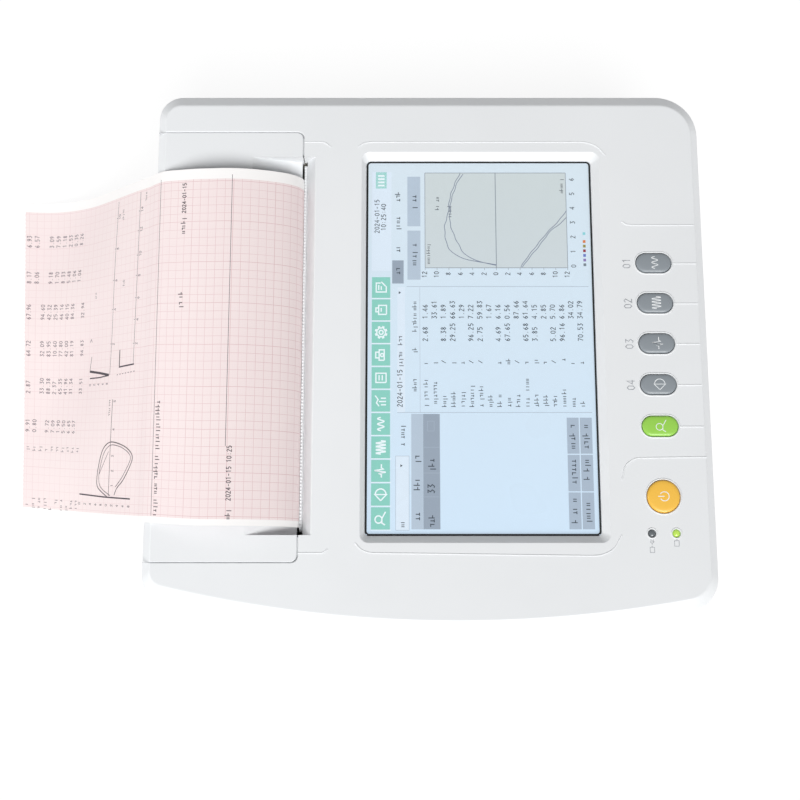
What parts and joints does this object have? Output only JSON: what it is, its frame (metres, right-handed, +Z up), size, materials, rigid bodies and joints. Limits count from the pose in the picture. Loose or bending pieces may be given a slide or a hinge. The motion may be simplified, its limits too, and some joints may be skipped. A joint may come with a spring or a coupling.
{
  "type": "ecg machine",
  "caption": "Desktop chart recorder with a sloping white deck, portrait touch screen, row of keys and a wide thermal printer with a hinged lid and a draped paper strip.",
  "frame": {"origin": "centre of the underside of the box round the whole part, printed strip included, on the table plane", "axes": "+Z up; +X to the right as the deck is seen from its front, towards the keys; +Y to the rear panel. The deck slopes up 4 degrees towards +Y"},
  "size_m": [0.446, 0.3404, 0.101],
  "materials": {
    "white_plastic": "fine satin texture",
    "case_plastic": "fine satin texture",
    "panel_plastic": "satin",
    "tray_plastic": "satin",
    "grey_key": "satin moulded",
    "green_key": "satin moulded",
    "orange_key": "satin moulded",
    "black_plastic": "satin",
    "glass": "clear, polished",
    "lcd": "lit screen",
    "steel": "bright plated",
    "aluminium": "drawn",
    "brass": "turned",
    "rubber": "matte",
    "gear_plastic": "moulded acetal",
    "board": "solder mask",
    "battery": "shrink sleeve",
    "paper": "smooth thermal paper",
    "light_clear": "clear moulded light guide",
    "cardboard": "wound tube"
  },
  "bodies": {
    "base": {"top_cover": "white_plastic", "bottom_case": "case_plastic", "rear_panel": "panel_plastic", "ac_inlet": "black_plastic", "patient_socket": "steel", "lan_socket": "steel", "usb_socket": "steel", "ground_stud": "brass", "hinge_pin_front": "steel", "hinge_pin_back": "steel", "thermal_head": "aluminium", "tear_bar": "steel", "head_heatsink": "aluminium", "head_bracket": "steel", "gear_bracket": "steel", "stepper_motor": "steel", "paper_tray": "tray_plastic", "touch_glass": "glass", "screen_gasket": "black_plastic", "lcd_module": "lcd", "light_left": "light_clear", "light_right": "light_clear", "key_board": "board", "main_board": "board", "power_board": "board", "battery_door": "case_plastic", "battery_pack": "battery", "speaker": "black_plastic", "foot_1": "rubber", "foot_2": "rubber", "foot_3": "rubber", "foot_4": "rubber", "case_screw_1": "steel", "case_screw_2": "steel", "case_screw_3": "steel", "case_screw_4": "steel"},
    "lid": {"printer_lid": "white_plastic", "bush_front": "brass", "bush_back": "brass"},
    "platen": {"platen_roller": "rubber", "platen_shaft": "steel", "platen_gear": "gear_plastic"},
    "printout": {"printout": "paper"},
    "roll": {"paper_roll": "paper", "roll_core": "cardboard", "roll_spindle": "tray_plastic"},
    "idler": {"idler_gear": "gear_plastic"},
    "pinion": {"motor_pinion": "steel"},
    "key_1": {"key_1": "grey_key"},
    "key_2": {"key_2": "grey_key"},
    "key_3": {"key_3": "grey_key"},
    "key_4": {"key_4": "grey_key"},
    "key_start": {"key_start": "green_key"},
    "key_power": {"key_power": "orange_key"}
  },
  "joints": [
    {"name": "lid_hinge", "type": "hinge", "parent": "base", "child": "lid", "pos_m": [-0.10797, -0.00563, 0.05327], "axis": [0, -0.9976, -0.0698], "range_deg": [0, 70]},
    {"name": "printout_hang", "type": "hinge", "parent": "lid", "child": "printout", "pos_m": [-0.02002, -0.00685, 0.07062], "axis": [0, -0.9976, -0.0698], "range_deg": [-70, 0]},
    {"name": "roll_spin", "type": "hinge", "parent": "base", "child": "roll", "pos_m": [-0.07257, -0.00499, 0.04409], "axis": [0, -0.9976, -0.0698], "continuous": true},
    {"name": "platen_spin", "type": "hinge", "parent": "lid", "child": "platen", "pos_m": [-0.02757, -0.00628, 0.06255], "axis": [0, -0.9976, -0.0698], "continuous": true},
    {"name": "idler_spin", "type": "hinge", "parent": "base", "child": "idler", "pos_m": [-0.02572, -0.00516, 0.04657], "axis": [0, -0.9976, -0.0698], "continuous": true},
    {"name": "pinion_spin", "type": "hinge", "parent": "base", "child": "pinion", "pos_m": [-0.01315, -0.00471, 0.04014], "axis": [0, -0.9976, -0.0698], "continuous": true},
    {"name": "key_1_press", "type": "slide", "parent": "base", "child": "key_1", "axis": [0, 0.0698, -0.9976], "range_m": [0, 0.001], "stiffness_N_per_m": 300, "springref_m": -0.0006},
    {"name": "key_2_press", "type": "slide", "parent": "base", "child": "key_2", "axis": [0, 0.0698, -0.9976], "range_m": [0, 0.001], "stiffness_N_per_m": 300, "springref_m": -0.0006},
    {"name": "key_3_press", "type": "slide", "parent": "base", "child": "key_3", "axis": [0, 0.0698, -0.9976], "range_m": [0, 0.001], "stiffness_N_per_m": 300, "springref_m": -0.0006},
    {"name": "key_4_press", "type": "slide", "parent": "base", "child": "key_4", "axis": [0, 0.0698, -0.9976], "range_m": [0, 0.001], "stiffness_N_per_m": 300, "springref_m": -0.0006},
    {"name": "key_start_press", "type": "slide", "parent": "base", "child": "key_start", "axis": [0, 0.0698, -0.9976], "range_m": [0, 0.001], "stiffness_N_per_m": 300, "springref_m": -0.0006},
    {"name": "key_power_press", "type": "slide", "parent": "base", "child": "key_power", "axis": [0, 0.0698, -0.9976], "range_m": [0, 0.001], "stiffness_N_per_m": 300, "springref_m": -0.0006}
  ],
  "couplings": [
    {"joint": "printout_hang", "follows": "lid_hinge", "ratio": -1},
    {"joint": "platen_spin", "follows": "roll_spin", "ratio": 3.2857},
    {"joint": "idler_spin", "follows": "roll_spin", "ratio": -3.2857},
    {"joint": "pinion_spin", "follows": "roll_spin", "ratio": 4.381}
  ]
}
